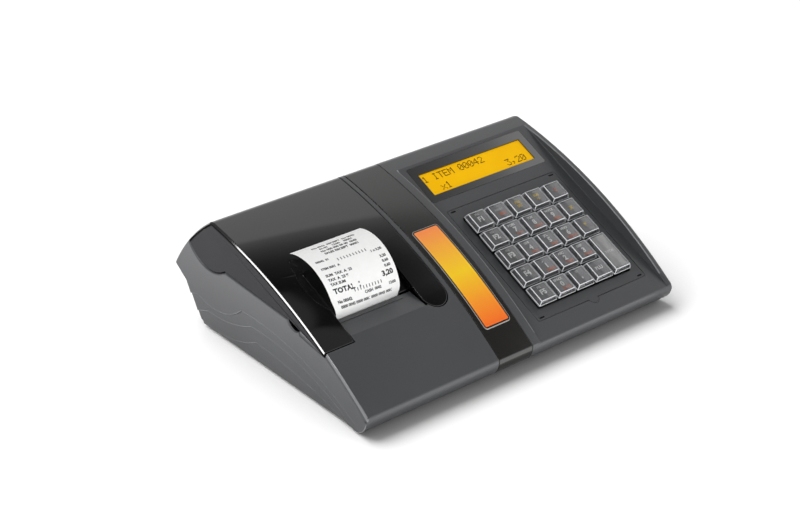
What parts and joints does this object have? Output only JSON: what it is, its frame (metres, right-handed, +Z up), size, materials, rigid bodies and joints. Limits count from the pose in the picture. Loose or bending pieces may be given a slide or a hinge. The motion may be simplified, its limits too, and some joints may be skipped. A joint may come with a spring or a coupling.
{
  "type": "cash register",
  "caption": "Compact wedge-shaped desk cash register with a hinged gloss printer cover, a curled paper receipt, a gloss centre strip, an amber display and sprung clear-capped keys.",
  "frame": {"origin": "middle of the footprint, on the table", "axes": "+X to the right as the keyboard is read, +Y to the back, +Z up"},
  "size_m": [0.305, 0.237, 0.0989],
  "materials": {
    "shell_grey": "satin",
    "gloss_black": "gloss",
    "strip_gloss": "gloss",
    "frame_grey": "satin",
    "label_film": "gloss",
    "rubber_black": "matte",
    "silicone": "matte",
    "steel": "brushed",
    "chassis_steel": "satin",
    "heat_sink": "satin",
    "circuit_board": "satin",
    "socket_black": "satin",
    "battery_wrap": "satin",
    "thermal_paper": "matte",
    "core_board": "matte",
    "gear_acetal": "satin",
    "pinion_brass": "satin",
    "display_amber": "gloss",
    "display_rear": "gloss",
    "key_clear": "gloss"
  },
  "bodies": {
    "body": {"base_tray": "shell_grey", "upper_housing": "shell_grey", "centre_strip": "strip_gloss", "label_plate": "label_film", "rubber_feet": "rubber_black", "case_screws": "steel", "battery_pack": "battery_wrap", "battery_door": "shell_grey", "main_board": "circuit_board", "dc_inlet": "socket_black", "port_sockets": "socket_black", "hinge_pins": "steel", "tear_bar": "steel", "paper_bin": "frame_grey", "printer_chassis": "chassis_steel", "thermal_head": "heat_sink", "head_spring": "steel", "stepper_motor": "steel", "display_bezel": "gloss_black", "lcd_module": "display_amber", "customer_window": "gloss_black", "customer_lcd": "display_rear", "keyboard_frame": "frame_grey", "key_guide": "frame_grey", "dome_mat": "silicone", "keyboard_board": "circuit_board"},
    "cover": {"printer_cover": "gloss_black", "cover_cheek": "shell_grey", "cover_frame": "frame_grey", "receipt_paper": "thermal_paper"},
    "platen": {"platen_roller": "rubber_black", "platen_gear": "gear_acetal"},
    "idler": {"idler_gear": "gear_acetal"},
    "pinion": {"motor_pinion": "pinion_brass"},
    "roll": {"paper_roll": "thermal_paper", "roll_core": "core_board"},
    "key_f1": {"key_f1": "key_clear"},
    "key_f2": {"key_f2": "key_clear"},
    "key_f3": {"key_f3": "key_clear"},
    "key_f4": {"key_f4": "key_clear"},
    "key_f5": {"key_f5": "key_clear"},
    "key_menu": {"key_menu": "key_clear"},
    "key_7": {"key_7": "key_clear"},
    "key_4": {"key_4": "key_clear"},
    "key_1": {"key_1": "key_clear"},
    "key_0": {"key_0": "key_clear"},
    "key_up": {"key_up": "key_clear"},
    "key_8": {"key_8": "key_clear"},
    "key_5": {"key_5": "key_clear"},
    "key_2": {"key_2": "key_clear"},
    "key_comma": {"key_comma": "key_clear"},
    "key_down": {"key_down": "key_clear"},
    "key_9": {"key_9": "key_clear"},
    "key_6": {"key_6": "key_clear"},
    "key_3": {"key_3": "key_clear"},
    "key_code": {"key_code": "key_clear"},
    "key_clear": {"key_clear": "key_clear"},
    "key_times": {"key_times": "key_clear"},
    "key_percent": {"key_percent": "key_clear"},
    "key_total": {"key_total": "key_clear"}
  },
  "joints": [
    {"name": "cover_hinge", "type": "hinge", "parent": "body", "child": "cover", "pos_m": [-0.096, 0.0718, 0.088], "axis": [-1, 0, 0], "range_deg": [0, 75]},
    {"name": "platen_spin", "type": "hinge", "parent": "cover", "child": "platen", "pos_m": [-0.096, -0.03912, 0.048], "axis": [1, 0, 0], "continuous": true},
    {"name": "idler_spin", "type": "hinge", "parent": "body", "child": "idler", "pos_m": [-0.0595, -0.03428, 0.0354], "axis": [1, 0, 0], "continuous": true},
    {"name": "pinion_spin", "type": "hinge", "parent": "body", "child": "pinion", "pos_m": [-0.0595, -0.04028, 0.025], "axis": [1, 0, 0], "continuous": true},
    {"name": "roll_spin", "type": "hinge", "parent": "body", "child": "roll", "pos_m": [-0.096, 0.006, 0.0458], "axis": [1, 0, 0], "continuous": true},
    {"name": "press_f1", "type": "slide", "parent": "body", "child": "key_f1", "axis": [0, 0.4203, -0.9074], "range_m": [0, 0.0025], "stiffness_N_per_m": 400, "springref_m": -0.001, "deforming": ["dome_mat"]},
    {"name": "press_f2", "type": "slide", "parent": "body", "child": "key_f2", "axis": [0, 0.4203, -0.9074], "range_m": [0, 0.0025], "stiffness_N_per_m": 400, "springref_m": -0.001, "deforming": ["dome_mat"]},
    {"name": "press_f3", "type": "slide", "parent": "body", "child": "key_f3", "axis": [0, 0.4203, -0.9074], "range_m": [0, 0.0025], "stiffness_N_per_m": 400, "springref_m": -0.001, "deforming": ["dome_mat"]},
    {"name": "press_f4", "type": "slide", "parent": "body", "child": "key_f4", "axis": [0, 0.4203, -0.9074], "range_m": [0, 0.0025], "stiffness_N_per_m": 400, "springref_m": -0.001, "deforming": ["dome_mat"]},
    {"name": "press_f5", "type": "slide", "parent": "body", "child": "key_f5", "axis": [0, 0.4203, -0.9074], "range_m": [0, 0.0025], "stiffness_N_per_m": 400, "springref_m": -0.001, "deforming": ["dome_mat"]},
    {"name": "press_menu", "type": "slide", "parent": "body", "child": "key_menu", "axis": [0, 0.4203, -0.9074], "range_m": [0, 0.0025], "stiffness_N_per_m": 400, "springref_m": -0.001, "deforming": ["dome_mat"]},
    {"name": "press_7", "type": "slide", "parent": "body", "child": "key_7", "axis": [0, 0.4203, -0.9074], "range_m": [0, 0.0025], "stiffness_N_per_m": 400, "springref_m": -0.001, "deforming": ["dome_mat"]},
    {"name": "press_4", "type": "slide", "parent": "body", "child": "key_4", "axis": [0, 0.4203, -0.9074], "range_m": [0, 0.0025], "stiffness_N_per_m": 400, "springref_m": -0.001, "deforming": ["dome_mat"]},
    {"name": "press_1", "type": "slide", "parent": "body", "child": "key_1", "axis": [0, 0.4203, -0.9074], "range_m": [0, 0.0025], "stiffness_N_per_m": 400, "springref_m": -0.001, "deforming": ["dome_mat"]},
    {"name": "press_0", "type": "slide", "parent": "body", "child": "key_0", "axis": [0, 0.4203, -0.9074], "range_m": [0, 0.0025], "stiffness_N_per_m": 400, "springref_m": -0.001, "deforming": ["dome_mat"]},
    {"name": "press_up", "type": "slide", "parent": "body", "child": "key_up", "axis": [0, 0.4203, -0.9074], "range_m": [0, 0.0025], "stiffness_N_per_m": 400, "springref_m": -0.001, "deforming": ["dome_mat"]},
    {"name": "press_8", "type": "slide", "parent": "body", "child": "key_8", "axis": [0, 0.4203, -0.9074], "range_m": [0, 0.0025], "stiffness_N_per_m": 400, "springref_m": -0.001, "deforming": ["dome_mat"]},
    {"name": "press_5", "type": "slide", "parent": "body", "child": "key_5", "axis": [0, 0.4203, -0.9074], "range_m": [0, 0.0025], "stiffness_N_per_m": 400, "springref_m": -0.001, "deforming": ["dome_mat"]},
    {"name": "press_2", "type": "slide", "parent": "body", "child": "key_2", "axis": [0, 0.4203, -0.9074], "range_m": [0, 0.0025], "stiffness_N_per_m": 400, "springref_m": -0.001, "deforming": ["dome_mat"]},
    {"name": "press_comma", "type": "slide", "parent": "body", "child": "key_comma", "axis": [0, 0.4203, -0.9074], "range_m": [0, 0.0025], "stiffness_N_per_m": 400, "springref_m": -0.001, "deforming": ["dome_mat"]},
    {"name": "press_down", "type": "slide", "parent": "body", "child": "key_down", "axis": [0, 0.4203, -0.9074], "range_m": [0, 0.0025], "stiffness_N_per_m": 400, "springref_m": -0.001, "deforming": ["dome_mat"]},
    {"name": "press_9", "type": "slide", "parent": "body", "child": "key_9", "axis": [0, 0.4203, -0.9074], "range_m": [0, 0.0025], "stiffness_N_per_m": 400, "springref_m": -0.001, "deforming": ["dome_mat"]},
    {"name": "press_6", "type": "slide", "parent": "body", "child": "key_6", "axis": [0, 0.4203, -0.9074], "range_m": [0, 0.0025], "stiffness_N_per_m": 400, "springref_m": -0.001, "deforming": ["dome_mat"]},
    {"name": "press_3", "type": "slide", "parent": "body", "child": "key_3", "axis": [0, 0.4203, -0.9074], "range_m": [0, 0.0025], "stiffness_N_per_m": 400, "springref_m": -0.001, "deforming": ["dome_mat"]},
    {"name": "press_code", "type": "slide", "parent": "body", "child": "key_code", "axis": [0, 0.4203, -0.9074], "range_m": [0, 0.0025], "stiffness_N_per_m": 400, "springref_m": -0.001, "deforming": ["dome_mat"]},
    {"name": "press_clear", "type": "slide", "parent": "body", "child": "key_clear", "axis": [0, 0.4203, -0.9074], "range_m": [0, 0.0025], "stiffness_N_per_m": 400, "springref_m": -0.001, "deforming": ["dome_mat"]},
    {"name": "press_times", "type": "slide", "parent": "body", "child": "key_times", "axis": [0, 0.4203, -0.9074], "range_m": [0, 0.0025], "stiffness_N_per_m": 400, "springref_m": -0.001, "deforming": ["dome_mat"]},
    {"name": "press_percent", "type": "slide", "parent": "body", "child": "key_percent", "axis": [0, 0.4203, -0.9074], "range_m": [0, 0.0025], "stiffness_N_per_m": 400, "springref_m": -0.001, "deforming": ["dome_mat"]},
    {"name": "press_total", "type": "slide", "parent": "body", "child": "key_total", "axis": [0, 0.4203, -0.9074], "range_m": [0, 0.0025], "stiffness_N_per_m": 400, "springref_m": -0.001, "deforming": ["dome_mat"]}
  ],
  "couplings": [
    {"joint": "idler_spin", "follows": "platen_spin", "ratio": -0.63636},
    {"joint": "pinion_spin", "follows": "platen_spin", "ratio": 1.4}
  ]
}
